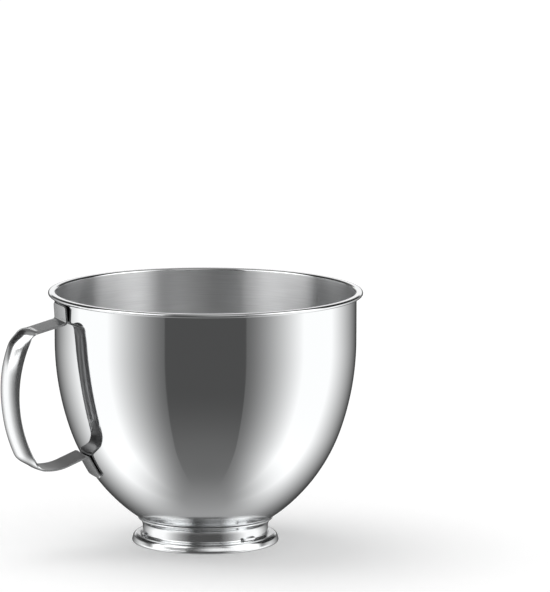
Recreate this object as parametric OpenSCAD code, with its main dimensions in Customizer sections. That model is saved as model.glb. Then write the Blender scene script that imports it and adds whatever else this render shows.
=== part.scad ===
// Steel mixing bowl: a spun bowl with a hemmed rim, a pressed foot that locks
// with a twist, and a loop handle bent from one strap.
// The origin is on the bowl's axis, in the plane that the foot stands on.
// The handle points along -X, so the XZ plane halves the bowl and the handle.

/* [Bowl] */
// Outer radius of the straight wall under the rim
wall_r = 108.4; // [95:0.1:120]
// Thickness of the bowl's sheet
sheet_t = 1; // [0.8:0.1:1.4]
// Height of the straight wall
wall_h = 35.5; // [28:0.5:50]
// Radius of the long curve that leads in from the wall
side_r = 197; // [170:1:230]
// Degrees that the side curve turns through
side_turn = 19; // [14:1:23]
// Radius of the shoulder that follows the side curve
shoulder_r = 129; // [118:1:140]
// Degrees that the shoulder turns through
shoulder_turn = 31; // [26:1:36]
// Height of the bowl's lowest point above the table
bottom_lift = 5; // [3:0.5:9]

/* [Rim] */
// How far the hem stands out from the wall
hem_w = 4.6; // [3.5:0.1:7]
// Height of the hem
hem_h = 3; // [2.6:0.1:4]
// Gap between the hem's folded edge and the wall
hem_gap = 0.8; // [0.5:0.1:1.2]

/* [Foot] */
// Outer radius of the foot's collar
collar_r = 45.2; // [40:0.1:50]
// Thickness of the foot's sheet
foot_t = 1.2; // [1:0.1:1.5]
// Radius of the flare that meets the bowl
flare_r = 6.4; // [4:0.1:9]
// Radius of the bend between the collar and the shelf round the base
toe_r = 1; // [0.6:0.1:1.6]
// Height of the shelf above the table
base_h = 6.6; // [5.6:0.1:7.6]
// Width of the shelf's flat part
shelf_w = 2.7; // [1.5:0.1:4]
// Outer radius of the bend between the shelf and the skirt
brow_r = 3.4; // [2.6:0.1:4]
// Degrees that the skirt leans in towards its top
skirt_lean = 15; // [5:1:25]
// Outer radius of the bend under the skirt
curl_r = 1.5; // [1.3:0.1:1.8]
// Width of the flat ring that rests on the table
base_w = 2.5; // [1.5:0.1:4]
// How far each locking lug stands out from the collar
lug_out = 2.2; // [1.2:0.1:3]
// Height of a locking lug
lug_h = 2.4; // [1.5:0.1:3.5]
// Degrees of the collar that a lug spans
lug_span = 14; // [8:1:24]
// Height of a lug above the shelf
lug_lift = 0.3; // [0.2:0.1:1]
// Direction of the first lug, in degrees from +X
lug_start = 53; // [0:1:119]

/* [Handle] */
// Width of the strap
strap_w = 26; // [20:0.5:32]
// Thickness of the strap
strap_t = 1.5; // [1.2:0.1:2.2]
// How far the grip is arched outwards across its width, near its top
grip_arch = 9.2; // [4:0.2:11]
// How far it is arched in its lower half
low_arch = 8; // [3:0.2:10]
// How far the tabs are dished to fit the wall
tab_dish = 0.4; // [0.2:0.1:0.8]
// Distance from the rim's top down to the upper tab
tab_drop = 4.8; // [4:0.1:10]
// Height of the upper tab
tab_h = 12.2; // [10:0.2:20]
// Degrees that the upper tab leans away from the wall
tab_lean = 4; // [0:0.5:6]
// How far the upper leg reaches out from its tab
top_leg_out = 25; // [18:0.5:34]
// Degrees that the upper leg slopes down
top_leg_slope = 14.7; // [5:0.1:22]
// How far the grip's bow stands out past the upper corner
bow_out = 19.8; // [14:0.1:26]
// Distance from the upper corner down to the bow's middle
bow_drop = 50; // [40:0.2:60]
// Radius of the grip's bow
bow_r = 97; // [80:1:104]
// Length of the lower leg, from the wall to its dip
low_leg_len = 23.8; // [20:0.2:32]
// Degrees that the lower leg slopes down
low_leg_slope = 22; // [12:1:28]
// Radius of the dip in the lower leg
dip_r = 35; // [25:1:40]
// Distance from the dip to the lower corner
dip_out = 14.2; // [13:0.2:20]
// Height that the lower leg rises again from the dip to the corner
dip_rise = 0.9; // [0:0.1:3]
// Degrees of the wall's slope where the lower tab sits
low_seat_slope = 29.6; // [26:0.2:36]
// Height of the lower tab
low_tab_h = 19; // [12:0.5:24]
// Radius of the two bends beside the wall
bend_r = 2.2; // [1.6:0.1:3]
// Radius of the two corners of the grip
corner_r = 7; // [5:0.5:9]
// Radius of the rounded corners at the strap's ends
tab_corner_r = 2.5; // [1:0.5:5]

/* [Fits] */
// Gap left for the weld between the pieces
weld_gap = 0.2; // [0.1:0.05:0.3]

/* [Hidden] */
lug_count = 3;
lug_edge = 0.5;
// How far a straight stretch of the foot's sheet laps into a bend
sheet_lap = 0.1;

// Facets across half the strap, then the largest step, in degrees, and the largest
// error round a bend of its route, and the largest step along a straight
across = 7;
max_step = 10;
bend_tol = 0.03;
straight_step = 4;
// Least turn, in degrees, of a strap that is all but flat across
least_turn = 0.01;

// How far before and past each corner the strap goes on swelling into the arched grip,
// and how far past the wall its dish fades out
top_lead = 5;
top_settle = 5;
low_lead = 2.5;
low_settle = 13.5;
dish_fade = 5;

// Centres and end heights of the bowl's three curves, each tangent to the next
bottom_turn = side_turn + shoulder_turn;
side_x = wall_r - side_r * (1 - cos(side_turn));
shoulder_x = side_x - shoulder_r * (cos(side_turn) - cos(bottom_turn));
bottom_r = shoulder_x / cos(bottom_turn);
wall_z = bottom_lift + side_r * sin(side_turn)
    + shoulder_r * (sin(bottom_turn) - sin(side_turn))
    + bottom_r * (1 - sin(bottom_turn));
side_c = [wall_r - side_r, wall_z];
shoulder_c = along(side_c, side_r - shoulder_r, -side_turn);
bottom_c = [0, bottom_lift + bottom_r];
rim_z = wall_z + wall_h;
rim_r = wall_r + hem_w;

// The collar's flare touches the bowl where its end lies along the bowl's own slope
flare_x = collar_r + flare_r;
flare_span = bottom_r + weld_gap + foot_t + flare_r;
flare_z = to_hundredths(bottom_c.y - sqrt(flare_span * flare_span - flare_x * flare_x));
flare_turn = acos(flare_x / flare_span);
toe_c = [collar_r + toe_r, base_h + toe_r];
brow_c = [toe_c.x + shelf_w, base_h - brow_r];
// The skirt is a straight line that touches both the brow and the curl
curl_out = ((brow_c.y - curl_r) * sin(skirt_lean) + brow_r - curl_r) / cos(skirt_lean);
curl_c = [to_hundredths(brow_c.x + curl_out), curl_r];

// The handle's route in the plane through the bowl's axis, as corners to be rounded.
// It is the middle of the strap's thickness, along the strap's two edges.
seat_off = weld_gap + strap_t / 2 - tab_dish;
low_seat = along(shoulder_c, shoulder_r + seat_off, -low_seat_slope);
tab_low = [wall_r + seat_off, rim_z - tab_drop - tab_h];
tab_top = along(tab_low, tab_h, 90 - tab_lean);
top_corner = tab_low + top_leg_out * [1, -tan(top_leg_slope)];
bow = top_corner + [bow_out, -bow_drop];
low_bend = along(low_seat, low_tab_h / 2, 90 - low_seat_slope);
low_end = along(low_seat, low_tab_h / 2, 270 - low_seat_slope);
dip = along(low_bend, low_leg_len, -low_leg_slope);
low_corner = dip + [dip_out, dip_rise];
route = filled(concat(
    rounded_end(tab_top, 270 - tab_lean),
    arc_corner(tab_top, tab_low, top_corner, bend_r),
    arc_corner(tab_low, top_corner, bow, corner_r),
    arc_corner(top_corner, bow, low_corner, bow_r),
    arc_corner(bow, low_corner, dip, corner_r),
    arc_corner(low_corner, dip, low_bend, dip_r),
    arc_corner(dip, low_bend, low_end, bend_r),
    reversed(rounded_end(low_end, 90 - low_seat_slope, 180))
));

function to_hundredths(value) = round(value * 100) / 100;

// The point at a distance and a direction, in degrees, from another point
function along(p, distance, direction) = p + distance * [cos(direction), sin(direction)];

function reversed(list) = [for (i = [len(list) - 1 : -1 : 0]) list[i]];

// Each station of the route is [x, z, heading in degrees, narrowing of each edge]
function rounded_end(tip, direction, turn = 0) =
    [for (a = [0 : 15 : 75])
        let (p = along(tip, tab_corner_r * (1 - cos(a)), direction))
        [p.x, p.y, direction + turn, tab_corner_r * (1 - sin(a))]
    ];

// The corner at the middle of three points, replaced by an arc of the given radius
function arc_corner(a, b, c, r) =
    let (
        d_in = (b - a) / norm(b - a),
        d_out = (c - b) / norm(c - b),
        heading = atan2(d_in.y, d_in.x),
        turn = atan2(d_in.x * d_out.y - d_in.y * d_out.x, d_in * d_out),
        side = sign(turn),
        start = b - d_in * r * tan(abs(turn) / 2),
        centre = start + side * r * [-d_in.y, d_in.x],
        steps = ceil(abs(turn) / min(max_step, 2 * acos(1 - bend_tol / r)))
    )
    [for (i = [0 : steps])
        let (
            h = heading + turn * i / steps,
            p = along(centre, r, h - side * 90)
        )
        [p.x, p.y, h, 0]
    ];

// The same route with more stations along its straight stretches
function filled(stations) =
    let (last = len(stations) - 1)
    concat(
        [for (i = [0 : last - 1])
            let (
                a = stations[i],
                b = stations[i + 1],
                turn = (b[2] - a[2] + 900) % 360 - 180,
                steps = max(1, ceil(norm([b.x - a.x, b.y - a.y]) / straight_step))
            )
            for (k = [0 : steps - 1])
                let (f = k / steps)
                [a.x + f * (b.x - a.x), a.y + f * (b.y - a.y), a[2] + f * turn, a[3] + f * (b[3] - a[3])]
        ],
        [stations[last]]
    );

// A smooth rise from 0 to 1 as a value goes from low to high
function ease(value, low, high) =
    let (f = max(0, min(1, (value - low) / (high - low))))
    f * f * (3 - 2 * f);

// How far the strap is arched across its width at a station: it is dished where
// the tabs meet the wall, flat along the legs, and swells out round the corners
function arch(station) =
    let (
        upper = station.y > bow.y,
        seat_x = upper ? tab_low.x : low_bend.x,
        swell = upper
            ? ease(station.x, top_corner.x - top_lead, top_corner.x + top_settle)
            : ease(station.x, dip.x, low_corner.x - corner_r)
                * ease(station.y, low_corner.y - low_lead, low_corner.y + low_settle),
        crown = low_arch + (grip_arch - low_arch) * ease(station.y, bow.y - 10, bow.y + 30)
    )
    tab_dish * (1 - ease(station.x, seat_x, seat_x + dish_fade)) + crown * swell;

// The strap's outline across its width at a station: its outer face, then its inner face
function strap_ring(station) =
    let (
        half = strap_w / 2 - station[3],
        turn = 2 * atan(arch(station) / (strap_w / 2)) + least_turn,
        r = strap_w / 2 / sin(turn),
        reach = asin(half / r),
        h = station[2]
    )
    [for (face = [1, -1])
        for (k = [-across : across])
            let (
                a = face * k / across * reach,
                face_r = r + face * strap_t / 2,
                rise = face_r * cos(a) - r * cos(turn)
            )
            [station.x - sin(h) * rise, face_r * sin(a), station.y + cos(h) * rise]
    ];

// Part of a circle between two heights, right of the axis
module slice(centre, r, low, high) {
    intersection() {
        translate(centre) circle(r, $fn = 360);
        translate([0, low]) square([2 * wall_r, high - low]);
    }
}

// The space inside the bowl's outer surface, or inside a surface parallel to it
module bowl_section(inset, top) {
    side_low = wall_z - (side_r - inset) * sin(side_turn);
    shoulder_low = shoulder_c.y - (shoulder_r - inset) * sin(bottom_turn);
    translate([0, wall_z]) square([wall_r - inset, top - wall_z]);
    slice(side_c, side_r - inset, side_low, wall_z);
    slice(shoulder_c, shoulder_r - inset, shoulder_low, side_low);
    slice(bottom_c, bottom_r - inset, bottom_lift, shoulder_low);
}

// The sheet's edge, turned out and folded back under itself
module hem_section() {
    half = hem_h / 2;
    inner_x = wall_r - sheet_t + half;
    fold_h = hem_h - 2 * sheet_t;
    difference() {
        union() {
            translate([inner_x, rim_z - hem_h]) square([rim_r - half - inner_x, hem_h]);
            translate([inner_x, rim_z - half]) circle(half, $fn = 64);
            translate([rim_r - half, rim_z - half]) circle(half, $fn = 64);
        }
        translate([wall_r, rim_z - half - fold_h / 2]) square([rim_r - half - wall_r, fold_h]);
        translate([wall_r, rim_z - hem_h - 1]) square([hem_gap, half + 1]);
        translate([rim_r - half, rim_z - half]) circle(fold_h / 2, $fn = 32);
    }
}

module bowl() {
    color("silver") rotate_extrude($fn = 180) {
        difference() {
            bowl_section(0, rim_z - hem_h / 2);
            bowl_section(sheet_t, rim_z);
        }
        hem_section();
    }
}

// A bend in the foot's sheet, between two directions in degrees
module sheet_bend(centre, inner, from, to) {
    outer = inner + foot_t;
    far = 2 * outer;
    middle = (from + to) / 2;
    translate(centre) intersection() {
        difference() {
            circle(outer, $fn = 96);
            circle(inner, $fn = 96);
        }
        polygon([
            [0, 0],
            far * [cos(from), sin(from)],
            far * [cos((from + middle) / 2), sin((from + middle) / 2)],
            far * [cos(middle), sin(middle)],
            far * [cos((middle + to) / 2), sin((middle + to) / 2)],
            far * [cos(to), sin(to)]
        ]);
    }
}

// A straight stretch of the foot's sheet. It is drawn from start to end along one face, with the
// other face towards side, and its ends lap into the bends there unless the start is free
module sheet_run(start, end, side, free = false) {
    way = (end - start) / norm(end - start);
    across = foot_t * [cos(side), sin(side)];
    polygon(concat(
        free ? [] : [start + across / 2 - sheet_lap * way],
        [start + across, end + across, end + across / 2 + sheet_lap * way, end, start]
    ));
}

module foot_section() {
    sheet_bend([flare_x, flare_z], flare_r, 180 - flare_turn, 180);
    sheet_run([collar_r, toe_c.y], [collar_r, flare_z], 180);
    sheet_bend(toe_c, toe_r, 180, 270);
    sheet_run([toe_c.x, base_h], [brow_c.x, base_h], 270);
    sheet_bend(brow_c, brow_r - foot_t, skirt_lean, 90);
    sheet_run(along(curl_c, curl_r, skirt_lean), along(brow_c, brow_r, skirt_lean), 180 + skirt_lean);
    sheet_bend(curl_c, curl_r - foot_t, -90, skirt_lean);
    sheet_run([curl_c.x - base_w, 0], [curl_c.x, 0], 90, free = true);
}

// A lug pressed out of the collar, which locks under a catch when the bowl is turned
module lug() {
    low = base_h + lug_lift;
    tip = collar_r + lug_out;
    root = collar_r - foot_t / 2;
    slope = 2 * lug_edge / lug_out;
    rotate([0, 0, -lug_span / 2]) rotate_extrude(angle = lug_span, $fn = 180) polygon([
        [root, low],
        [tip - lug_edge, low],
        [tip, low + lug_edge],
        [tip, low + lug_h - 2 * lug_edge],
        [root, low + lug_h + slope * foot_t / 2]
    ]);
}

module foot_ring() {
    color("gainsboro") {
        rotate_extrude($fn = 180) foot_section();
        for (i = [0 : lug_count - 1]) rotate([0, 0, lug_start + i * 360 / lug_count]) lug();
    }
}

module handle() {
    color("lightgray") rotate([0, 0, 180]) strap();
}

// The strap's rings joined along its route, and closed at both ends
module strap() {
    rings = [for (station = route) strap_ring(station)];
    around = len(rings[0]);
    last = len(rings) - 1;
    polyhedron(
        points = [for (ring = rings) each ring],
        faces = concat(
            [for (i = [0 : last - 1])
                for (j = [0 : around - 1])
                    let (
                        a = i * around + j,
                        b = i * around + (j + 1) % around
                    )
                    each [[a, b, b + around], [a, b + around, a + around]]
            ],
            [for (j = [0 : around / 2 - 2])
                each strap_end(j, around - 1 - j, around - 2 - j, j + 1, 0, false)],
            [for (j = [0 : around / 2 - 2])
                each strap_end(j, around - 1 - j, around - 2 - j, j + 1, last * around, true)]
        )
    );
}

// Two triangles of an end, between its outer and inner faces
function strap_end(a, b, c, d, first, flipped) =
    let (corners = flipped ? [a, d, c, b] : [a, b, c, d])
    [
        [first + corners[0], first + corners[1], first + corners[2]],
        [first + corners[0], first + corners[2], first + corners[3]]
    ];

bowl();
foot_ring();
handle();
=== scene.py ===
"""Dresses a steel mixing bowl: mirror-polished outside, brushed inside, on a white studio floor.

Lengths are in metres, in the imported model's frame: +Z up, the origin on the bowl's axis in the
plane that the foot stands on, and the handle along -X.
"""

import logging
import math
from dataclasses import dataclass, field
from enum import Enum

import bmesh
import bpy
from mathutils import Euler, Matrix, Vector


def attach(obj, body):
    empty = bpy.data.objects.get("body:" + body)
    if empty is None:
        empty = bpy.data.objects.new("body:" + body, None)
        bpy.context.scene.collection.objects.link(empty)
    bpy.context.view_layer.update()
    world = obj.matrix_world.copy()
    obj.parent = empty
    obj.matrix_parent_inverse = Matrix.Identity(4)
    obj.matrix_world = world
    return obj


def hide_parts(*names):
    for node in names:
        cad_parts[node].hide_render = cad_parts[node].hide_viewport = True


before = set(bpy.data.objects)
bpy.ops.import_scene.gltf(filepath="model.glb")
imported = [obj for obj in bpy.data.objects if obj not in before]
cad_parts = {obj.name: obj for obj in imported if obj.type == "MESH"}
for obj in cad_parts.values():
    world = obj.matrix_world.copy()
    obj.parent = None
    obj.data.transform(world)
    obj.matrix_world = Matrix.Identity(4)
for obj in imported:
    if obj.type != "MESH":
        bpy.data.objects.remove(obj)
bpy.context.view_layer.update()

LOG = logging.getLogger("mixing_bowl")
MM = 0.001
TINY = 0.001 * MM
ROOT_BODY = "root"
AXIS = Vector((0.0, 0.0))
Socket = bpy.types.NodeSocket
Span = tuple[float, float]
# A station on the strap's route is x, z, heading in degrees, and narrowing of each edge.
Station = tuple[float, float, float, float]


class Metal(Enum):
    """The finishes that the steel has, by the name of their material."""

    MIRROR = "mirror_polished_steel"
    BUFFED = "buffed_foot_steel"
    STRAP = "satin_strap_steel"
    # The strap's inside: rougher steel, and darker in colour as painted shade where it faces the bowl.
    DULL_PAINTED_SHADE = "dull_painted_shade_strap_inside"
    BRUSHED = "circular_brushed_steel"


Finishes = dict[Metal, bpy.types.Material]


class Wiring:
    """Adds nodes to a node tree, joined up as they are made."""

    def __init__(self, tree: bpy.types.NodeTree) -> None:
        """Starts on a tree."""
        self.tree = tree

    def node(
        self, kind: str, inputs: dict[str | int, object] | None = None, **settings: object
    ) -> bpy.types.Node:
        """Adds a node.

        Args:
            kind: Blender's name for the node's type.
            inputs: What its inputs get, by name or place: a value, or a socket that is linked.
            **settings: Properties of the node, by name.

        Returns:
            The new node.
        """
        made = self.tree.nodes.new(kind)
        for name, value in settings.items():
            setattr(made, name, value)
        for key, value in (inputs or {}).items():
            if isinstance(value, Socket):
                self.tree.links.new(value, made.inputs[key])
            else:
                made.inputs[key].default_value = value
        return made

    def math(self, operation: str, *values: object, clamp: bool = False) -> Socket:
        """Adds a Math node, which may keep its result between 0 and 1."""
        inputs = dict(enumerate(values))
        return self.node("ShaderNodeMath", inputs, operation=operation, use_clamp=clamp).outputs[0]

    def vector_math(self, operation: str, *values: object) -> Socket:
        """Adds a Vector Math node, which gives a number for a length or a dot product."""
        output = "Value" if operation in ("LENGTH", "DOT_PRODUCT") else "Vector"
        return self.node("ShaderNodeVectorMath", dict(enumerate(values)), operation=operation).outputs[output]

    def place(self, kind: str = "Object") -> Socket:
        """Adds a Texture Coordinate node and gives one of its outputs."""
        return self.node("ShaderNodeTexCoord").outputs[kind]

    def height(self, place: Socket) -> Socket:
        """Gives the Z part of a vector."""
        return self.node("ShaderNodeSeparateXYZ", {0: place}).outputs["Z"]

    def span(
        self,
        value: Socket,
        low: float,
        high: float,
        to_low: object = 0.0,
        to_high: object = 1.0,
        way: str = "SMOOTHSTEP",
    ) -> Socket:
        """Adds a Map Range from one span of values to another.

        Args:
            value: The socket that is mapped.
            low: The value that gives to_low.
            high: The value that gives to_high.
            to_low: The number or socket at low and beyond.
            to_high: The number or socket at high and beyond.
            way: The node's interpolation.

        Returns:
            The mapped value.
        """
        inputs = dict(enumerate((value, low, high, to_low, to_high)))
        return self.node("ShaderNodeMapRange", inputs, interpolation_type=way).outputs["Result"]

    def blend(self, share: object, first: object, second: object) -> Socket:
        """Adds a Mix node that goes from the first number to the second as the share goes from 0 to 1."""
        return self.node("ShaderNodeMix", {0: share, 2: first, 3: second}, data_type="FLOAT").outputs[0]


class FinishGroups:
    """The node groups that more than one finish uses."""

    def __init__(self) -> None:
        """Builds each group once."""
        self.rings = self._rings()
        self.haze = self._haze()

    def _start(self, name: str, inputs: dict[str, float]) -> tuple[Wiring, bpy.types.Node]:
        """Starts a group that puts out a mask.

        Args:
            name: The group's name.
            inputs: The defaults of its inputs, by name.

        Returns:
            The group's wiring, and the node that gives its inputs.
        """
        group = bpy.data.node_groups.new(name, "ShaderNodeTree")
        for given, default in inputs.items():
            socket = group.interface.new_socket(given, in_out="INPUT", socket_type="NodeSocketFloat")
            socket.default_value = default
        group.interface.new_socket("Mask", in_out="OUTPUT", socket_type="NodeSocketFloat")
        wiring = Wiring(group)
        return wiring, wiring.node("NodeGroupInput")

    def _rings(self) -> bpy.types.ShaderNodeTree:
        """Makes the fine rings that polishing or brushing on a lathe leaves round the axis.

        Returns:
            A group that puts out a mask of the rings.
        """
        defaults = {"Rings per metre": 1200.0, "Breaks round the axis": 3.0, "Contrast": 1.0}
        wiring, given = self._start("lathe_rings", defaults)
        fineness = given.outputs["Rings per metre"]
        place = wiring.place()
        flat = wiring.vector_math("MULTIPLY", place, (1.0, 1.0, 0.0))
        around = wiring.vector_math("NORMALIZE", flat)
        spread = wiring.vector_math("MULTIPLY", around, given.outputs["Breaks round the axis"])
        outwards = wiring.math("MULTIPLY", wiring.vector_math("LENGTH", flat), fineness)
        lift = wiring.node("ShaderNodeCombineXYZ", {"Z": outwards}).outputs["Vector"]
        inputs = {
            "Vector": wiring.vector_math("ADD", spread, lift),
            "W": wiring.math("MULTIPLY", wiring.height(place), fineness),
            "Scale": 1.0,
            "Detail": 3.0,
            "Roughness": 0.65,
        }
        noise = wiring.node("ShaderNodeTexNoise", inputs, noise_dimensions="4D")
        centred = wiring.math("SUBTRACT", noise.outputs["Fac"], 0.5)
        scaled = wiring.math("MULTIPLY", centred, given.outputs["Contrast"])
        wiring.node("NodeGroupOutput", {"Mask": wiring.math("ADD", scaled, 0.5, clamp=True)})
        return wiring.tree

    def _haze(self) -> bpy.types.ShaderNodeTree:
        """Makes the faint uneven haze that handling leaves on polished metal.

        Returns:
            A group that puts out a soft, cloudy mask.
        """
        wiring, given = self._start("handling_haze", {"Scale": 25.0})
        inputs = {"Vector": wiring.place(), "Scale": given.outputs["Scale"], "Detail": 4.0}
        noise = wiring.node("ShaderNodeTexNoise", inputs)
        clear, hazy = 0.42, 0.7
        wiring.node("NodeGroupOutput", {"Mask": wiring.span(noise.outputs["Fac"], clear, hazy)})
        return wiring.tree


@dataclass(frozen=True)
class SteelFinish:
    """One finish of the steel.

    Attributes:
        metal: Which finish it is.
        colour: The steel's linear reflectance, set lighter or darker for some finishes as painted light or
            shade.
        roughness: Roughness in the smoothest places.
        ring_roughness: What the rings add to the roughness at most.
        haze_roughness: What the haze adds to the roughness at most.
        under_roughness: What is added where the polishing wheel doesn't reach, low on the underside.
        under_top: Height at which that begins.
        under_full: Height at which it is full.
        rings_per_metre: How fine the rings are.
        ring_breaks: How often a ring changes on its way round.
        ring_contrast: How strongly the rings stand out.
        ring_shade: How much darker the steel is where a ring is deep.
        anisotropy: How far a reflection is drawn out across the rings.
    """

    metal: Metal
    colour: tuple[float, float, float] = (0.80, 0.81, 0.815)
    roughness: float = 0.035
    ring_roughness: float = 0.02
    haze_roughness: float = 0.02
    under_roughness: float = 0.0
    under_top: float = 34.0 * MM
    under_full: float = 26.0 * MM
    rings_per_metre: float = 900.0
    ring_breaks: float = 2.0
    ring_contrast: float = 1.0
    ring_shade: float = 0.0
    anisotropy: float = 0.0

    def material(self, groups: FinishGroups) -> bpy.types.Material:
        """Builds the finish.

        Args:
            groups: The node groups that the finishes share.

        Returns:
            The material.
        """
        made = bpy.data.materials.new(self.metal.value)
        made.use_nodes = True
        made.node_tree.nodes.clear()
        wiring = Wiring(made.node_tree)
        given = {
            "Rings per metre": self.rings_per_metre,
            "Breaks round the axis": self.ring_breaks,
            "Contrast": self.ring_contrast,
        }
        rings = wiring.node("ShaderNodeGroup", given, node_tree=groups.rings).outputs["Mask"]
        haze = wiring.node("ShaderNodeGroup", node_tree=groups.haze).outputs["Mask"]
        roughness = wiring.math("MULTIPLY_ADD", rings, self.ring_roughness, self.roughness)
        roughness = wiring.math("MULTIPLY_ADD", haze, self.haze_roughness, roughness)
        if self.under_roughness > 0.0:
            height = wiring.height(wiring.place())
            under = wiring.span(height, self.under_top, self.under_full, 0.0, self.under_roughness)
            roughness = wiring.math("ADD", roughness, under)
        colours = {0: rings, 6: (*self.colour, 1.0), 7: (*[1.0 - self.ring_shade] * 3, 1.0)}
        shade = wiring.node("ShaderNodeMix", colours, data_type="RGBA", blend_type="MULTIPLY")
        steel = {"Base Color": shade.outputs[2], "Metallic": 1.0, "Roughness": roughness}
        if self.anisotropy > 0.0:
            around = wiring.vector_math("CROSS_PRODUCT", (0.0, 0.0, 1.0), wiring.place())
            steel |= {"Tangent": around, "Anisotropic": self.anisotropy, "Anisotropic Rotation": 0.25}
        shader = wiring.node("ShaderNodeBsdfPrincipled", steel)
        wiring.node("ShaderNodeOutputMaterial", {"Surface": shader.outputs[0]})
        return made


def of_kind(parts: list[object], kind: type) -> list[object]:
    """Picks the vertices, edges or faces out of what an operator gives."""
    return [part for part in parts if isinstance(part, kind)]


class SectionPen:
    """Draws a section in the XZ plane, edge by edge, and spins it round the Z axis."""

    def __init__(self, x: float, z: float) -> None:
        """Starts a section at a point."""
        self.bm = bmesh.new()
        self.tip = self.bm.verts.new((x, 0.0, z))

    def line(self, x: float, z: float, steps: int = 1) -> None:
        """Draws a straight line from the tip.

        Args:
            x: Distance of the line's end from the axis.
            z: Height of the line's end.
            steps: Number of edges.
        """
        step = (Vector((x, 0.0, z)) - self.tip.co) / steps
        for _ in range(steps):
            grown = bmesh.ops.extrude_vert_indiv(self.bm, verts=[self.tip])
            self.tip = grown["verts"][0]
            self.tip.co += step

    def arc(self, centre: Vector, turn: float, steps: int) -> None:
        """Draws an arc from the tip.

        Args:
            centre: The arc's centre, as x and z.
            turn: Degrees that the arc turns through, anticlockwise with +X to the right.
            steps: Number of edges.
        """
        grown = bmesh.ops.spin(
            self.bm,
            geom=[self.tip],
            cent=(centre.x, 0.0, centre.y),
            axis=(0.0, -1.0, 0.0),
            angle=math.radians(turn),
            steps=steps,
        )
        self.tip = of_kind(grown["geom_last"], bmesh.types.BMVert)[0]

    def revolve(self, steps: int) -> bmesh.types.BMesh:
        """Spins the section a full turn, closes it and turns its faces outwards.

        Args:
            steps: Number of facets round the axis.

        Returns:
            The bmesh with the spun surface.
        """
        bmesh.ops.remove_doubles(self.bm, verts=self.bm.verts[:], dist=TINY)
        bmesh.ops.spin(
            self.bm,
            geom=self.bm.verts[:] + self.bm.edges[:],
            cent=(0.0, 0.0, 0.0),
            axis=(0.0, 0.0, 1.0),
            angle=math.tau,
            steps=steps,
            use_merge=True,
        )
        bmesh.ops.remove_doubles(self.bm, verts=self.bm.verts[:], dist=TINY)
        bmesh.ops.recalc_face_normals(self.bm, faces=self.bm.faces[:])
        return self.bm


def into_scene(name: str, data: bpy.types.ID) -> bpy.types.Object:
    """Puts data into the scene as an object.

    Args:
        name: The object's name.
        data: Its mesh, lamp or camera.

    Returns:
        The object.
    """
    made = bpy.data.objects.new(name, data)
    bpy.context.scene.collection.objects.link(made)
    return made


def finish_piece(
    bm: bmesh.types.BMesh, name: str, node: str, metals: list[bpy.types.Material], sharp_angle: float = 40.0
) -> bpy.types.Object:
    """Makes an object of a bmesh, smooth but for its sharp edges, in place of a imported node.

    Args:
        bm: The shape, which is used up.
        name: The piece's name.
        node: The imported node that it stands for.
        metals: Its materials, by face index.
        sharp_angle: Degrees past which an edge is left sharp.

    Returns:
        The piece.
    """
    mesh = bpy.data.meshes.new(name)
    bm.to_mesh(mesh)
    bm.free()
    mesh.shade_smooth()
    mesh.set_sharp_from_angle(angle=math.radians(sharp_angle))
    for metal in metals:
        mesh.materials.append(metal)
    piece = into_scene(name, mesh)
    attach(piece, ROOT_BODY)
    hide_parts(node)
    return piece


def polar(centre: Vector, radius: float, degrees: float) -> Vector:
    """Gives the point at a distance and a direction from another, as x and z.

    Args:
        centre: The point that it is measured from.
        radius: The distance.
        degrees: The direction, anticlockwise from +X.

    Returns:
        The point.
    """
    return centre + radius * Vector((math.cos(math.radians(degrees)), math.sin(math.radians(degrees))))


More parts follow.
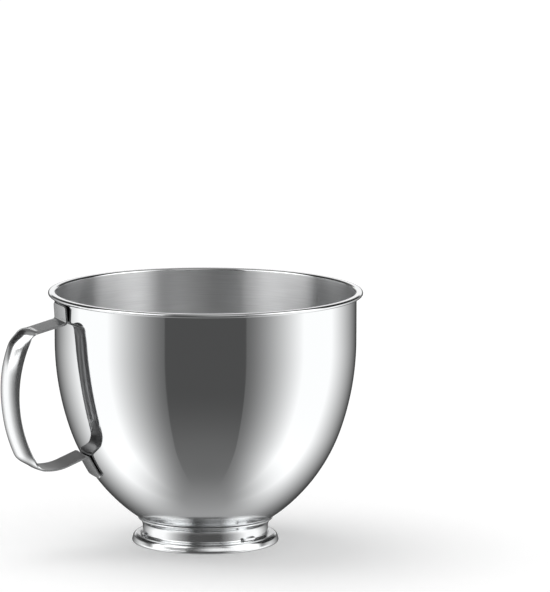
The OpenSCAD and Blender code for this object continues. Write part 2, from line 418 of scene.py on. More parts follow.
@dataclass
class SpunBowl:
    """The bowl's shell: a straight wall, three curves that lead into each other, and a hemmed rim.

    Attributes:
        wall_r: Outer radius of the straight wall.
        sheet_t: Thickness of the sheet.
        wall_h: Height of the straight wall.
        side_r: Radius of the long curve below the wall.
        side_turn: Degrees that it turns through.
        shoulder_r: Radius of the next curve.
        shoulder_turn: Degrees that it turns through.
        bottom_lift: Height of the bowl's lowest point.
        hem_w: How far the hem stands out from the wall.
        hem_h: Height of the hem.
        hem_gap: Gap between the hem's folded edge and the wall.
        hem_edge_r: Rounding of that edge.
        facets: Facets round the axis.
    """

    wall_r: float = 108.4 * MM
    sheet_t: float = 1.0 * MM
    wall_h: float = 35.5 * MM
    side_r: float = 197.0 * MM
    side_turn: float = 19.0
    shoulder_r: float = 129.0 * MM
    shoulder_turn: float = 31.0
    bottom_lift: float = 5.0 * MM
    hem_w: float = 4.6 * MM
    hem_h: float = 3.0 * MM
    hem_gap: float = 0.8 * MM
    hem_edge_r: float = 0.2 * MM
    facets: int = 256

    def __post_init__(self) -> None:
        """Works out the centres of the three curves, each tangent to the next."""
        self.bottom_turn = self.side_turn + self.shoulder_turn
        side, low = math.radians(self.side_turn), math.radians(self.bottom_turn)
        side_x = self.wall_r - self.side_r * (1.0 - math.cos(side))
        shoulder_x = side_x - self.shoulder_r * (math.cos(side) - math.cos(low))
        self.bottom_r = shoulder_x / math.cos(low)
        drop = self.side_r * math.sin(side) + self.shoulder_r * (math.sin(low) - math.sin(side))
        self.wall_z = self.bottom_lift + drop + self.bottom_r * (1.0 - math.sin(low))
        self.rim_z = self.wall_z + self.wall_h
        self.side_c = Vector((self.wall_r - self.side_r, self.wall_z))
        self.shoulder_c = polar(self.side_c, self.side_r - self.shoulder_r, -self.side_turn)
        self.bottom_c = Vector((0.0, self.bottom_lift + self.bottom_r))

    def _hem(self, pen: SectionPen) -> None:
        """Draws the rim from the wall's outside to its inside.

        Args:
            pen: The pen, at the top of the outer wall.
        """
        half = self.hem_h / 2.0
        fold = half - self.sheet_t
        out_x = self.wall_r + self.hem_w - half
        edge_x = self.wall_r + self.hem_gap
        edge_round_x = edge_x + self.hem_edge_r
        inner_x = self.wall_r - self.sheet_t + half
        middle = self.rim_z - half
        edge_top, edge_low = middle - fold - self.hem_edge_r, middle - half + self.hem_edge_r
        pen.line(self.wall_r, middle + fold, 3)
        pen.line(out_x, middle + fold, 2)
        pen.arc(Vector((out_x, middle)), -180.0, 8)
        pen.line(edge_round_x, middle - fold, 2)
        pen.arc(Vector((edge_round_x, edge_top)), 90.0, 4)
        pen.line(edge_x, edge_low)
        pen.arc(Vector((edge_round_x, edge_low)), 90.0, 4)
        pen.line(out_x, middle - half, 2)
        pen.arc(Vector((out_x, middle)), 180.0, 24)
        pen.line(inner_x, self.rim_z, 3)
        pen.arc(Vector((inner_x, middle)), 90.0, 12)

    def _shape(self) -> bmesh.types.BMesh:
        """Draws the whole section, outside and inside, and spins it.

        Returns:
            The shell.
        """
        curves = (
            (self.bottom_c, 90.0 - self.bottom_turn, 32),
            (self.shoulder_c, self.shoulder_turn, 28),
            (self.side_c, self.side_turn, 22),
        )
        pen = SectionPen(0.0, self.bottom_lift)
        for centre, turn, steps in curves:
            pen.arc(centre, turn, steps)
        pen.line(self.wall_r, self.rim_z - self.hem_h, 8)
        self._hem(pen)
        pen.line(self.wall_r - self.sheet_t, self.wall_z, 8)
        for centre, turn, steps in reversed(curves):
            pen.arc(centre, -turn, steps)
        return pen.revolve(self.facets)

    def build(self, finishes: Finishes) -> bpy.types.Object:
        """Makes the shell, mirror-polished outside and over the rim, and brushed inside.

        Args:
            finishes: The steel's materials.

        Returns:
            The piece.
        """
        bm = self._shape()
        brushed_top = self.rim_z - self.hem_h / 2.0
        inside_r = self.wall_r - self.sheet_t / 2.0
        for face in bm.faces:
            middle = face.calc_center_median()
            outward = Vector((middle.x, middle.y, 0.0))
            faces_in = face.normal.dot(outward) < 0.0 or face.normal.z > 0.5
            inside = outward.length < inside_r and middle.z < brushed_top
            face.material_index = int(faces_in and inside)
        metals = [finishes[Metal.MIRROR], finishes[Metal.BRUSHED]]
        return finish_piece(bm, "bowl_shell", "bowl", metals)


@dataclass
class FootRing:
    """The pressed foot: a flared lip under the bowl, a collar with lugs, a shelf and a skirt.

    Attributes:
        collar_r: Outer radius of the collar.
        sheet_t: Thickness of the sheet.
        flare_r: Radius of the flare that meets the bowl.
        toe_r: Radius of the bend between the collar and the shelf.
        base_h: Height of the shelf.
        shelf_w: Width of the shelf's flat part.
        brow_r: Outer radius of the bend between the shelf and the skirt.
        skirt_lean: Degrees that the skirt leans in towards its top.
        curl_r: Outer radius of the bend under the skirt.
        base_w: Width of the flat ring that the bowl stands on.
        lug_out: How far each lug stands out from the collar.
        lug_h: Height of a lug.
        lug_face: Share of that height that its upright face takes, below its slant.
        lug_edge_r: Rounding of its edges.
        lug_span: Degrees of the collar that a lug spans.
        lug_lift: Height of a lug above the shelf.
        lug_start: Direction of the first lug, in degrees from +X.
        lug_count: Number of lugs.
        weld_gap: Gap between the flare and the bowl.
        facets: Facets round the axis.
    """

    collar_r: float = 45.2 * MM
    sheet_t: float = 1.2 * MM
    flare_r: float = 6.4 * MM
    toe_r: float = 1.0 * MM
    base_h: float = 6.6 * MM
    shelf_w: float = 2.7 * MM
    brow_r: float = 3.4 * MM
    skirt_lean: float = 15.0
    curl_r: float = 1.5 * MM
    base_w: float = 2.5 * MM
    lug_out: float = 2.2 * MM
    lug_h: float = 2.4 * MM
    lug_face: float = 0.6
    lug_edge_r: float = 0.35 * MM
    lug_span: float = 14.0
    lug_lift: float = 0.3 * MM
    lug_start: float = 53.0
    lug_count: int = 3
    weld_gap: float = 0.2 * MM
    facets: int = 256

    def _section(self, bowl: SpunBowl) -> SectionPen:
        """Draws the sheet's section, down its outside and back up its inside.

        Args:
            bowl: The bowl that the flare meets.

        Returns:
            The pen, back where it began.
        """
        flare_x = self.collar_r + self.flare_r
        reach = bowl.bottom_r + self.weld_gap + self.sheet_t + self.flare_r
        flare_c = Vector((flare_x, bowl.bottom_c.y - math.sqrt(reach**2 - flare_x**2)))
        flare_turn = math.degrees(math.acos(flare_x / reach))
        toe_c = Vector((self.collar_r + self.toe_r, self.base_h + self.toe_r))
        brow_c = Vector((toe_c.x + self.shelf_w, self.base_h - self.brow_r))
        lean = math.radians(self.skirt_lean)
        drop = brow_c.y - self.curl_r
        curl_out = (drop * math.sin(lean) + self.brow_r - self.curl_r) / math.cos(lean)
        curl_c = Vector((brow_c.x + curl_out, self.curl_r))
        brow_turn, curl_turn = 90.0 - self.skirt_lean, 90.0 + self.skirt_lean
        half = self.sheet_t / 2.0
        lip = polar(flare_c, self.flare_r, 180.0 - flare_turn)
        lip_middle = polar(flare_c, self.flare_r + half, 180.0 - flare_turn)
        skirt_low = polar(curl_c, self.curl_r, self.skirt_lean)
        skirt_top = polar(brow_c, self.brow_r - self.sheet_t, self.skirt_lean)
        edge_x = curl_c.x - self.base_w
        pen = SectionPen(lip.x, lip.y)
        pen.arc(flare_c, flare_turn, 20)
        pen.line(self.collar_r, toe_c.y, 4)
        pen.arc(toe_c, 90.0, 8)
        pen.line(brow_c.x, self.base_h, 2)
        pen.arc(brow_c, -brow_turn, 16)
        pen.line(skirt_low.x, skirt_low.y, 3)
        pen.arc(curl_c, -curl_turn, 10)
        pen.line(edge_x, 0.0, 2)
        pen.arc(Vector((edge_x, half)), -180.0, 8)
        pen.line(curl_c.x, self.sheet_t, 2)
        pen.arc(curl_c, curl_turn, 6)
        pen.line(skirt_top.x, skirt_top.y, 3)
        pen.arc(brow_c, brow_turn, 12)
        pen.line(toe_c.x, self.base_h - self.sheet_t, 2)
        pen.arc(toe_c, -90.0, 8)
        pen.line(self.collar_r - self.sheet_t, flare_c.y, 4)
        pen.arc(flare_c, -flare_turn, 20)
        pen.arc(lip_middle, -180.0, 8)
        return pen

    def _lug(self, bm: bmesh.types.BMesh, direction: float) -> None:
        """Adds one lug to the collar.

        Args:
            bm: The foot's shape.
            direction: Degrees of the lug's middle from +X.
        """
        low = self.base_h + self.lug_lift
        root_x, tip_x = self.collar_r - self.sheet_t / 2.0, self.collar_r + self.lug_out
        slant = low + self.lug_face * self.lug_h
        corners = [(root_x, low), (tip_x, low), (tip_x, slant), (root_x, low + self.lug_h)]
        turned = Matrix.Rotation(math.radians(direction - self.lug_span / 2.0), 4, "Z")
        outline = [bm.verts.new(turned @ Vector((x, 0.0, z))) for x, z in corners]
        first = bm.faces.new(outline)
        grown = bmesh.ops.spin(
            bm,
            geom=[first, *first.edges, *first.verts],
            cent=(0.0, 0.0, 0.0),
            axis=(0.0, 0.0, 1.0),
            angle=math.radians(self.lug_span),
            steps=6,
        )
        last = of_kind(grown["geom_last"], bmesh.types.BMFace)[0]
        lug = {first, last}
        for vert in [*outline, *last.verts]:
            lug.update(vert.link_faces)
        edges = {edge for face in (first, last) for edge in face.edges}
        bmesh.ops.recalc_face_normals(bm, faces=list(lug))
        bmesh.ops.bevel(
            bm,
            geom=list(edges),
            offset=self.lug_edge_r,
            segments=3,
            profile=0.5,
            affect="EDGES",
            material=-1,
        )

    def build(self, bowl: SpunBowl, finishes: Finishes) -> bpy.types.Object:
        """Makes the foot.

        Args:
            bowl: The bowl that it carries.
            finishes: The steel's materials.

        Returns:
            The piece.
        """
        bm = self._section(bowl).revolve(self.facets)
        for index in range(self.lug_count):
            self._lug(bm, self.lug_start + index * 360.0 / self.lug_count)
        return finish_piece(bm, "foot_ring_shell", "foot_ring", [finishes[Metal.BUFFED]])


@dataclass
class LoopHandle:
    """The handle: one strap, bent from the wall out round the hand and back, with an arched grip.

    The route is in the XZ plane, drawn with +X outwards and turned round at the end.

    Attributes:
        strap_w: Width of the strap.
        strap_t: Thickness of the strap.
        grip_arch: How far the grip is arched across its width, near its top.
        low_arch: The same in its lower half.
        crown_span: Heights over the bow's middle between which the low arch becomes the upper one.
        low_swell: Heights over the lower corner between which the grip's arch begins.
        swell_len: Distance past a tab in which its dish ends, and beside the upper corner in which
            the arch begins.
        tab_dish: How far the tabs are dished to fit the wall.
        tab_drop: Distance from the rim down to the upper tab.
        tab_h: Height of the upper tab.
        tab_lean: Degrees that the upper tab leans away from the wall.
        top_leg_out: How far the upper leg reaches out.
        top_leg_slope: Degrees that it slopes down.
        bow_out: How far the grip's bow stands out past the upper corner.
        bow_drop: Distance from the upper corner down to the bow's middle.
        bow_r: Radius of the grip's bow.
        low_leg_len: Length of the lower leg, from the wall to its dip.
        low_leg_slope: Degrees that it slopes down.
        dip_r: Radius of the dip.
        dip_out: Distance from the dip to the lower corner.
        dip_rise: Height that the lower leg rises again to the corner.
        low_seat_slope: Degrees of the wall's slope where the lower tab sits.
        low_tab_h: Height of the lower tab.
        bend_r: Radius of the two bends beside the wall.
        corner_r: Radius of the grip's two corners.
        tab_corner_r: Radius of the rounded corners at the strap's ends.
        weld_gap: Gap between the tabs and the wall.
        edge_r: Rounding of the strap's edges.
        columns: Facets across the strap.
        station_gap: Distance from one row of facets to the next, at most.
        points: The corners of the route, by name, once they are set out.
    """

    strap_w: float = 26.0 * MM
    strap_t: float = 1.5 * MM
    grip_arch: float = 9.2 * MM
    low_arch: float = 8.0 * MM
    crown_span: Span = (-10.0 * MM, 30.0 * MM)
    low_swell: Span = (-2.5 * MM, 13.5 * MM)
    swell_len: float = 5.0 * MM
    tab_dish: float = 0.4 * MM
    tab_drop: float = 4.8 * MM
    tab_h: float = 12.2 * MM
    tab_lean: float = 4.0
    top_leg_out: float = 25.0 * MM
    top_leg_slope: float = 14.7
    bow_out: float = 19.8 * MM
    bow_drop: float = 50.0 * MM
    bow_r: float = 97.0 * MM
    low_leg_len: float = 23.8 * MM
    low_leg_slope: float = 22.0
    dip_r: float = 35.0 * MM
    dip_out: float = 14.2 * MM
    dip_rise: float = 0.9 * MM
    low_seat_slope: float = 29.6
    low_tab_h: float = 19.0 * MM
    bend_r: float = 2.2 * MM
    corner_r: float = 7.0 * MM
    tab_corner_r: float = 2.5 * MM
    weld_gap: float = 0.2 * MM
    edge_r: float = 0.45 * MM
    columns: int = 28
    station_gap: float = 1.2 * MM
    points: dict[str, Vector] = field(default_factory=dict)

    def _set_out(self, bowl: SpunBowl) -> None:
        """Works out the corners of the route from the bowl's wall.

        Args:
            bowl: The bowl that the tabs sit on.
        """
        off = self.weld_gap + self.strap_t / 2.0 - self.tab_dish
        low_seat = polar(bowl.shoulder_c, bowl.shoulder_r + off, -self.low_seat_slope)
        tab_low = Vector((bowl.wall_r + off, bowl.rim_z - self.tab_drop - self.tab_h))
        slope = math.tan(math.radians(self.top_leg_slope))
        top_corner = tab_low + self.top_leg_out * Vector((1.0, -slope))
        low_bend = polar(low_seat, self.low_tab_h / 2.0, 90.0 - self.low_seat_slope)
        dip = polar(low_bend, self.low_leg_len, -self.low_leg_slope)
        self.points = {
            "tab_top": polar(tab_low, self.tab_h, 90.0 - self.tab_lean),
            "tab_low": tab_low,
            "top_corner": top_corner,
            "bow": top_corner + Vector((self.bow_out, -self.bow_drop)),
            "low_corner": dip + Vector((self.dip_out, self.dip_rise)),
            "dip": dip,
            "low_bend": low_bend,
            "low_end": polar(low_seat, self.low_tab_h / 2.0, 270.0 - self.low_seat_slope),
        }

    def _rounded_end(self, tip: Vector, direction: float, turn: float = 0.0) -> list[Station]:
        """Gives the stations over a rounded end of the strap.

        Args:
            tip: The end.
            direction: Degrees from the end into the strap.
            turn: Degrees from that direction to the route's heading.

        Returns:
            Stations from the end inwards.
        """
        stations = []
        for degrees in range(0, 90, 10):
            angle = math.radians(degrees)
            place = polar(tip, self.tab_corner_r * (1.0 - math.cos(angle)), direction)
            narrowing = self.tab_corner_r * (1.0 - math.sin(angle))
            stations.append((place.x, place.y, direction + turn, narrowing))
        return stations

    def _arc_corner(self, names: tuple[str, str, str], radius: float, step: float) -> list[Station]:
        """Gives the stations round a corner of the route.

        Args:
            names: The corner before, the corner itself and the corner after.
            radius: The corner's radius.
            step: Degrees from one station to the next, at most.

        Returns:
            Stations along the arc.
        """
        before, corner, after = (self.points[name] for name in names)
        way_in, way_out = (corner - before).normalized(), (after - corner).normalized()
        heading = math.degrees(math.atan2(way_in.y, way_in.x))
        turn = math.degrees(math.atan2(way_in.cross(way_out), way_in.dot(way_out)))
        side = math.copysign(1.0, turn)
        start = corner - way_in * radius * math.tan(math.radians(abs(turn)) / 2.0)
        centre = start + side * radius * Vector((-way_in.y, way_in.x))
        steps = math.ceil(abs(turn) / step)
        stations = []
        for index in range(steps + 1):
            direction = heading + turn * index / steps
            place = polar(centre, radius, direction - side * 90.0)
            stations.append((place.x, place.y, direction, 0.0))
        return stations

    def _route(self) -> list[Station]:
        """Gives every station of the route.

        Returns:
            Stations from the upper tab's end to the lower tab's.
        """
        upper_in = 270.0 - self.tab_lean
        lower_in = 90.0 - self.low_seat_slope
        bare = [
            *self._rounded_end(self.points["tab_top"], upper_in),
            *self._arc_corner(("tab_top", "tab_low", "top_corner"), self.bend_r, 6.0),
            *self._arc_corner(("tab_low", "top_corner", "bow"), self.corner_r, 4.0),
            *self._arc_corner(("top_corner", "bow", "low_corner"), self.bow_r, 0.8),
            *self._arc_corner(("bow", "low_corner", "dip"), self.corner_r, 4.0),
            *self._arc_corner(("low_corner", "dip", "low_bend"), self.dip_r, 2.0),
            *self._arc_corner(("dip", "low_bend", "low_end"), self.bend_r, 6.0),
            *reversed(self._rounded_end(self.points["low_end"], lower_in, 180.0)),
        ]
        stations = [bare[0]]
        for last, this in zip(bare, bare[1:]):
            steps = max(1, math.ceil(math.dist(last[:2], this[:2]) / self.station_gap))
            turn = (this[2] - last[2] + 180.0) % 360.0 - 180.0
            for step in range(1, steps + 1):
                share = step / steps
                x, z, narrowing = (last[i] + share * (this[i] - last[i]) for i in (0, 1, 3))
                stations.append((x, z, last[2] + share * turn, narrowing))
        return stations

    def _arch(self, x: float, z: float) -> float:
        """Gives how far the strap is arched across its width at a place on the route.

        It is dished where the tabs meet the wall, flat along the legs, and swells out round
        the corners into the grip.

        Args:
            x: Distance of the place from the bowl's axis.
            z: Its height.

        Returns:
            How far the strap's middle stands out past its edges.
        """
        bow, corner, low_corner = (self.points[name] for name in ("bow", "top_corner", "low_corner"))
        if z > bow.y:
            seat_x = self.points["tab_low"].x
            swell = ease(x, corner.x - self.swell_len, corner.x + self.swell_len)
        else:
            seat_x = self.points["low_bend"].x
            swell = ease(x, self.points["dip"].x, low_corner.x - self.corner_r)
            swell *= ease(z - low_corner.y, *self.low_swell)
        crown = self.low_arch + (self.grip_arch - self.low_arch) * ease(z - bow.y, *self.crown_span)
        return self.tab_dish * (1.0 - ease(x, seat_x, seat_x + self.swell_len)) + crown * swell

    def _place_row(self, row: list[bmesh.types.BMVert], station: Station) -> None:
        """Moves one row of vertices to its station, along the strap's arch.

        Args:
            row: The vertices across the strap.
            station: Where the row goes.
        """
        x, z, heading, narrowing = station
        across = math.radians(heading)
        half = self.strap_w / 2.0
        turn = 2.0 * math.atan(max(self._arch(x, z), TINY) / half)
        radius = half / math.sin(turn)
        reach = math.asin((half - narrowing) / radius)
        for index, vert in enumerate(row):
            angle = (2.0 * index / self.columns - 1.0) * reach
            rise = radius * (math.cos(angle) - math.cos(turn))
            vert.co = (x - math.sin(across) * rise, radius * math.sin(angle), z + math.cos(across) * rise)

    def build(self, bowl: SpunBowl, finishes: Finishes) -> bpy.types.Object:
        """Makes the strap: a row of edges is drawn out along the route, thickened and rounded.

        Args:
            bowl: The bowl that the tabs sit on.
            finishes: The steel's materials.

        Returns:
            The piece.
        """
        self._set_out(bowl)
        route = self._route()
        bm = bmesh.new()
        row = [bm.verts.new((0.0, index * MM, 0.0)) for index in range(self.columns + 1)]
        edges = [bm.edges.new(pair) for pair in zip(row, row[1:])]
        self._place_row(row, route[0])
        for station in route[1:]:
            grown = bmesh.ops.extrude_edge_only(bm, edges=edges)["geom"]
            row = sorted(of_kind(grown, bmesh.types.BMVert), key=lambda vert: vert.co.y)
            edges = [edge for edge in of_kind(grown, bmesh.types.BMEdge) if set(edge.verts) <= set(row)]
            self._place_row(row, station)
        bmesh.ops.recalc_face_normals(bm, faces=bm.faces[:])
        half_turn = Matrix.Rotation(math.pi, 3, "Z")
        bmesh.ops.rotate(bm, verts=bm.verts[:], cent=(0.0, 0.0, 0.0), matrix=half_turn)
        # The strap's inside face, toward the bowl, gets the darker steel: painted shade.
        metals = [finishes[Metal.STRAP], finishes[Metal.DULL_PAINTED_SHADE]]
        piece = finish_piece(bm, "handle_strap", "handle", metals, sharp_angle=30.0)
        wall = piece.modifiers.new("thickness", "SOLIDIFY")
        wall.thickness = self.strap_t
        wall.offset = 0.0
        wall.use_even_offset = True
        wall.material_offset = 1
        edge = piece.modifiers.new("rounded_edges", "BEVEL")
        edge.width = self.edge_r
        edge.segments = 3
        edge.limit_method = "ANGLE"
        edge.angle_limit = math.radians(60.0)
        edge.harden_normals = False
        return piece


def ease(value: float, low: float, high: float) -> float:
    """Rises smoothly from 0 to 1 as a value goes from low to high."""
    share = max(0.0, min(1.0, (value - low) / (high - low)))
    return share * share * (3.0 - 2.0 * share)


@dataclass
class PhotoCamera:
    """The camera, at the photograph's viewing angle.

    Attributes:
        azimuth: Degrees of the camera from +X, seen from above.
        distance: Its distance from the bowl's axis.
        height: Its height.
        lens: Focal length in millimetres, on a sensor of 36 mm.
        yaw: Degrees that it turns past the axis, clockwise from above.
        pitch: Degrees that it tilts up.
        roll: Degrees that it rolls anticlockwise.
    """

    azimuth: float = 250.5
    distance: float = 4.0
    height: float = 0.79434
    lens: float = 369.14
    yaw: float = 0.7132
    pitch: float = -8.7505
    roll: float = 0.1732

    def build(self) -> None:
        """Makes the camera the scene's own."""
        data = bpy.data.cameras.new("photo_camera")
        data.sensor_fit = "HORIZONTAL"
        data.lens = self.lens
        data.clip_end = 50.0
        camera = into_scene("photo_camera", data)
        place = polar(AXIS, self.distance, self.azimuth)
        facing = math.radians(self.azimuth + 90.0 - self.yaw)
        tilt = Matrix.Rotation(math.radians(90.0 + self.pitch), 4, "X")
        turn = Matrix.Rotation(facing, 4, "Z")
        roll = Matrix.Rotation(math.radians(self.roll), 4, "Z")
        camera.matrix_world = Matrix.Translation((place.x, place.y, self.height)) @ turn @ tilt @ roll
        bpy.context.scene.camera = camera


@dataclass(frozen=True)
class RoomView:
    """The direction in which the room is seen, as sockets of the world's nodes.

    Attributes:
        wiring: The world's nodes.
        rise: Degrees above the horizon.
        facing: Its part along the camera's level direction.
        turn: Degrees from the camera's direction, seen from above, positive to the camera's right.
        away: The turn without its sign.
    """

    wiring: Wiring
    rise: Socket
    facing: Socket
    turn: Socket
    away: Socket

    @classmethod
    def build(cls, wiring: Wiring, camera_azimuth: float) -> "RoomView":
        """Adds the nodes that work the direction out.

        Args:
            wiring: The world's nodes.
            camera_azimuth: Degrees of the camera's direction from +X.

        Returns:
            The direction.
        """
        direction = wiring.vector_math("NORMALIZE", wiring.place("Generated"))
        level = wiring.vector_math("NORMALIZE", wiring.vector_math("MULTIPLY", direction, (1.0, 1.0, 0.0)))
        azimuths = (camera_azimuth, camera_azimuth + 90.0)
        front, right = ((*polar(AXIS, 1.0, azimuth), 0.0) for azimuth in azimuths)
        towards, aside = (wiring.vector_math("DOT_PRODUCT", level, way) for way in (front, right))
        turn = wiring.math("DEGREES", wiring.math("ARCTAN2", aside, towards))
        return cls(
            wiring=wiring,
            rise=wiring.math("DEGREES", wiring.math("ARCSINE", wiring.height(direction))),
            facing=wiring.vector_math("DOT_PRODUCT", direction, front),
            turn=turn,
            away=wiring.math("ABSOLUTE", turn),
        )

    def up(self, degrees: Span, low: object = 0.0, high: object = 1.0) -> Socket:
        """Goes smoothly from one brightness to another over a span of degrees above the horizon."""
        return self.wiring.span(self.rise, *degrees, low, high)

    def across(self, degrees: Span, low: float, high: float) -> Socket:
        """Goes smoothly from one brightness to another over a span of the turn, from left to right."""
        return self.wiring.span(self.turn, *degrees, low, high)

    def around(self, degrees: Span, low: float = 0.0, high: float = 1.0) -> Socket:
        """Goes smoothly from one brightness to another over a span of degrees away from the camera."""
        return self.wiring.span(self.away, *degrees, low, high)


@dataclass(frozen=True)
class SoftScreen:
    """A soft white screen at one side of the bowl, above eye level.

    Attributes:
        near: Brightness of its near edge, beside the dark field.
        full: Brightness of its middle.
        middle: Degrees from the camera's direction to its middle.
        end: Degrees at which it begins to fall off and at which it is dark.
    """

    near: float
    full: float
    middle: float
    end: Span

    def light(self, view: RoomView, start: float) -> Socket:
        """Gives the screen's brightness in a direction, where its near edge starts at some degrees."""
        rising = view.around((start, self.middle), self.near, self.full)
        return view.wiring.math("MULTIPLY", rising, view.around(self.end, 1.0, 0.0))


@dataclass
class Studio:
    """A white floor, a soft lamp, and a room that the metal reflects.

    Near eye level and below, the room is dark towards the camera, rises to white at both
    sides and falls off behind the bowl. Above that it is dark in front and behind, with a
    soft white screen at each side, a low white backdrop far behind, and a narrow strip that
    crosses the front where the foot's skirt looks. The strip is dark at the left and white
    at the right.

    Attributes:
        camera_azimuth: Degrees of the camera's direction from +X.
        floor_size: Width of the floor.
        floor_colour: Reflectance of the floor.
        floor_lift: What the camera adds to the floor's brightness.
        lamp_energy: Strength of the lamp.
        lamp_spread: Degrees over which the lamp's light is spread.
        lamp_tilt: Turns of the lamp round X and Y, in radians.
        plain: Brightness of the room as plain light, to what doesn't mirror it.
        level: What the mirrored room's brightness is multiplied by.
        dark: Brightness of the dark field towards the camera.
        dark_half: Degrees from the camera's direction to the dark field's edge.
        side_foot: Brightness of the side walls beside the dark field.
        side_top: Degrees from the camera's direction at which the side walls reach white.
        side_curve: Power of their rise.
        side_end: Degrees at which they begin to fall off.
        end_curve: Power of their fall.
        behind: Their least brightness, behind the bowl.
        low_lift: What is added to the walls and the dark field far down.
        low_rise: Degrees above the horizon over which that begins.
        ground: Brightness straight down.
        ground_tilt: How much darker the ground grows towards the camera.
        ground_rise: Degrees above the horizon over which the ground begins.
        walls_top: Degrees above the horizon over which the side walls end.
        left: The screen to the camera's left.
        right: The screen to its right.
        gap: Brightness between the screen and the backdrop, at the left and at the right.
        gap_top: Degrees above the horizon over which the gap ends.
        over_gap: Brightness over the gap.
        backdrop: Brightness of the backdrop behind the bowl.
        backdrop_edge: Degrees from the camera's direction over which the backdrop begins.
        backdrop_top: Degrees above the horizon over which it ends.
        over_backdrop: Brightness over it.
        before: Brightness just above the side walls, over the camera.
        front: Brightness higher over the camera, at the left and at the right.
        front_turn: Degrees of turn over which the one goes over into the other.
        front_rise: Degrees above the horizon over which the front begins.
        ceiling: Brightness straight up.
        ceiling_rise: Degrees above the horizon over which the ceiling begins.
        strip_rise: Degrees of the strip's middle above the horizon at the camera.
        strip_droop: Degrees that it falls for each degree away from the camera.
        strip_half: Half the height in degrees of its full part, and the width of its soft edge.
        strip: Brightness of the strip where it is darkest and where it is white.
        strip_left: Degrees of turn over which it rises to white at the left.
        strip_right: The same at the right.
        strip_end: Degrees over which it fades at both ends.
    """

    camera_azimuth: float
    floor_size: float = 24.0
    floor_colour: float = 0.93
    floor_lift: float = 0.12
    lamp_energy: float = 0.9
    lamp_spread: float = 50.0
    lamp_tilt: Span = (-0.35, -0.25)
    plain: float = 0.75
    level: float = 1.22
    dark: float = 0.072
    dark_half: float = 31.0
    side_foot: float = 0.13
    side_top: float = 80.5
    side_curve: float = 1.4
    side_end: float = 112.0
    end_curve: float = 1.75
    behind: float = 0.05
    low_lift: float = 0.085
    low_rise: Span = (-20.0, -65.0)
    ground: float = 0.257
    ground_tilt: float = 0.28
    ground_rise: Span = (-42.0, -80.0)
    walls_top: Span = (2.0, 9.0)
    left: SoftScreen = SoftScreen(near=1.05, full=1.7, middle=58.0, end=(86.0, 97.0))
    right: SoftScreen = SoftScreen(near=0.13, full=1.6, middle=62.0, end=(88.0, 102.0))
    gap: Span = (0.08, 0.02)
    gap_top: Span = (14.0, 22.0)
    over_gap: float = 0.03
    backdrop: float = 0.85
    backdrop_edge: Span = (154.0, 164.0)
    backdrop_top: Span = (11.0, 15.0)
    over_backdrop: float = 0.13
    before: float = 0.045
    front: Span = (0.1, 0.42)
    front_turn: Span = (-16.0, 16.0)
    front_rise: Span = (14.0, 20.0)
    ceiling: float = 0.26
    ceiling_rise: Span = (45.0, 60.0)
    strip_rise: float = 21.0
    strip_droop: float = 0.09
    strip_half: float = 2.2
    strip: Span = (0.13, 1.05)
    strip_left: Span = (-54.0, -80.0)
    strip_right: Span = (-20.0, 14.0)
    strip_end: Span = (84.0, 100.0)

    def _low(self, view: RoomView) -> Socket:
        """Works out the side walls, the dark field and the ground.

        Args:
            view: The direction in which the room is seen.

        Returns:
            Their brightness.
        """
        wiring = view.wiring
        rising = wiring.span(view.away, self.dark_half, self.side_top, way="LINEAR")
        rising = wiring.math("POWER", rising, self.side_curve)
        rising = wiring.math("MULTIPLY_ADD", rising, 1.0 - self.side_foot, self.side_foot)
        falling = wiring.span(view.away, 180.0, self.side_end, way="LINEAR")
        falling = wiring.math("MAXIMUM", wiring.math("POWER", falling, self.end_curve), self.behind)
        sides = wiring.math("MINIMUM", rising, falling)
        walls = wiring.blend(wiring.math("GREATER_THAN", view.away, self.dark_half), self.dark, sides)
        walls = wiring.math("ADD", walls, view.up(self.low_rise, 0.0, self.low_lift))
        ground = wiring.math("MULTIPLY_ADD", view.facing, -self.ground_tilt, self.ground)
        return wiring.blend(view.up(self.ground_rise), walls, ground)

    def _high(self, view: RoomView) -> Socket:
        """Works out the screens, the backdrop, the front and the ceiling.

        Args:
            view: The direction in which the room is seen.

        Returns:
            Their brightness.
        """
        wiring = view.wiring
        at_right = wiring.math("GREATER_THAN", view.turn, 0.0)
        gap = view.up(self.gap_top, wiring.blend(at_right, *self.gap), self.over_gap)
        backdrop = view.up(self.backdrop_top, self.backdrop, self.over_backdrop)
        behind = wiring.blend(view.around(self.backdrop_edge), gap, backdrop)
        screens = [screen.light(view, self.dark_half) for screen in (self.left, self.right)]
        in_front = view.up(self.front_rise, self.before, view.across(self.front_turn, *self.front))
        aside = wiring.math("GREATER_THAN", view.away, self.dark_half)
        beside = wiring.math("MAXIMUM", wiring.blend(at_right, *screens), behind)
        room = wiring.blend(aside, in_front, beside)
        return wiring.blend(view.up(self.ceiling_rise), room, self.ceiling)

    def _with_strip(self, view: RoomView, room: Socket) -> Socket:
        """Lays the narrow strip over the room.

        Args:
            view: The direction in which the room is seen.
            room: The brightness without the strip.

        Returns:
            The brightness with it.
        """
        wiring = view.wiring
        middle = wiring.math("MULTIPLY_ADD", view.away, -self.strip_droop, self.strip_rise)
        off = wiring.math("ABSOLUTE", wiring.math("SUBTRACT", view.rise, middle))
        shown = wiring.span(off, self.strip_half, 2.0 * self.strip_half, 1.0, 0.0)
        shown = wiring.math("MULTIPLY", shown, view.around(self.strip_end, 1.0, 0.0))
        ends = [view.across(end, *self.strip) for end in (self.strip_left, self.strip_right)]
        return wiring.blend(shown, room, wiring.math("MAXIMUM", *ends))

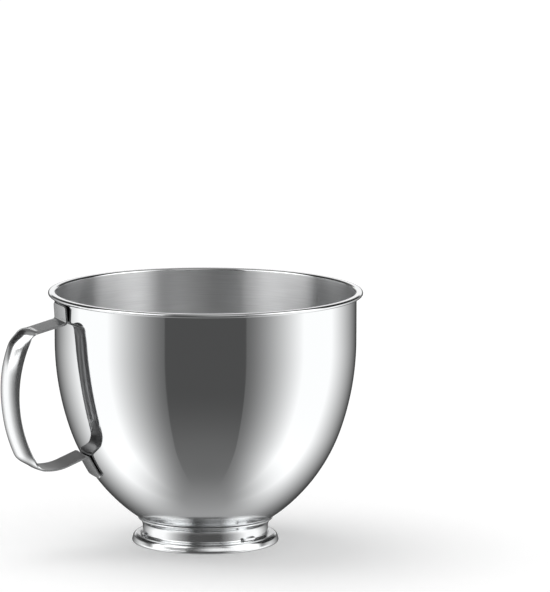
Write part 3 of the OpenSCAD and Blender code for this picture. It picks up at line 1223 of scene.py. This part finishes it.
    def _room(self) -> None:
        """Makes the world: white to the camera, plain light to rough things, a room to the metal."""
        world = bpy.data.worlds.new("studio_room")
        world.use_nodes = True
        world.node_tree.nodes.clear()
        bpy.context.scene.world = world
        wiring = Wiring(world.node_tree)
        view = RoomView.build(wiring, self.camera_azimuth)
        high = self._with_strip(view, self._high(view))
        seen = wiring.blend(view.up(self.walls_top), self._low(view), high)
        path = wiring.node("ShaderNodeLightPath")
        mirrored = wiring.math("MULTIPLY", seen, self.level)
        room = wiring.blend(path.outputs["Is Glossy Ray"], self.plain, mirrored)
        strength = wiring.blend(path.outputs["Is Camera Ray"], room, 1.0)
        white = {"Color": (1.0, 1.0, 1.0, 1.0), "Strength": strength}
        background = wiring.node("ShaderNodeBackground", white)
        wiring.node("ShaderNodeOutputWorld", {"Surface": background.outputs[0]})
        world.cycles.sampling_method = "NONE"

    def _floor(self) -> None:
        """Makes the floor, which no metal mirrors."""
        bm = bmesh.new()
        bmesh.ops.create_grid(bm, x_segments=1, y_segments=1, size=self.floor_size / 2.0)
        mesh = bpy.data.meshes.new("studio_floor")
        bm.to_mesh(mesh)
        bm.free()
        paint = bpy.data.materials.new("white_floor")
        paint.use_nodes = True
        paint.node_tree.nodes.clear()
        wiring = Wiring(paint.node_tree)
        to_camera = wiring.node("ShaderNodeLightPath").outputs["Is Camera Ray"]
        inputs = {
            "Base Color": (*[self.floor_colour] * 3, 1.0),
            "Roughness": 0.9,
            "Specular IOR Level": 0.0,
            "Emission Color": (1.0, 1.0, 1.0, 1.0),
            "Emission Strength": wiring.math("MULTIPLY", to_camera, self.floor_lift),
        }
        shader = wiring.node("ShaderNodeBsdfPrincipled", inputs)
        wiring.node("ShaderNodeOutputMaterial", {"Surface": shader.outputs[0]})
        mesh.materials.append(paint)
        floor = into_scene("studio_floor", mesh)
        floor.visible_glossy = False

    def _lamp(self) -> None:
        """Makes the soft lamp over the bowl, which no metal mirrors."""
        data = bpy.data.lights.new("soft_lamp", "SUN")
        data.energy = self.lamp_energy
        data.angle = math.radians(self.lamp_spread)
        lamp = into_scene("soft_lamp", data)
        lamp.matrix_world = Euler((*self.lamp_tilt, 0.0)).to_matrix().to_4x4()
        lamp.visible_glossy = False

    def build(self) -> None:
        """Makes the floor, the lamp and the room, and sets how colours are shown."""
        bpy.context.scene.view_settings.view_transform = "Standard"
        self._floor()
        self._lamp()
        self._room()


def steel_finishes() -> Finishes:
    """Builds the finishes of the steel.

    Returns:
        The materials, by finish.
    """
    groups = FinishGroups()
    finishes = (
        SteelFinish(Metal.MIRROR, under_roughness=0.12),
        SteelFinish(Metal.BUFFED, roughness=0.15),
        SteelFinish(Metal.STRAP, roughness=0.17),
        # Painted shade: the strap's inside is darker steel than its outside, as well as rougher.
        SteelFinish(Metal.DULL_PAINTED_SHADE, colour=(0.45, 0.45, 0.455), roughness=0.32),
        SteelFinish(
            Metal.BRUSHED,
            # Painted light: the brushed inside's colour is set lighter than the polished steel's, to brighten
            # the inside.
            colour=(0.9, 0.905, 0.91),
            roughness=0.29,
            ring_roughness=0.06,
            rings_per_metre=1500.0,
            ring_breaks=4.0,
            ring_contrast=1.6,
            ring_shade=0.18,
            anisotropy=1.0,
        ),
    )
    return {finish.metal: finish.material(groups) for finish in finishes}


def main() -> None:
    """Builds and dresses every piece, and logs how many faces each has."""
    logging.basicConfig(level=logging.INFO, format="%(name)s: %(message)s")
    camera = PhotoCamera()
    camera.build()
    Studio(camera.azimuth).build()
    finishes = steel_finishes()
    bowl = SpunBowl()
    pieces = [
        bowl.build(finishes),
        FootRing().build(bowl, finishes),
        LoopHandle().build(bowl, finishes),
    ]
    for piece in pieces:
        LOG.info("%s: %d faces", piece.name, len(piece.data.polygons))
    bpy.context.view_layer.update()


if __name__ == "__main__":
    main()
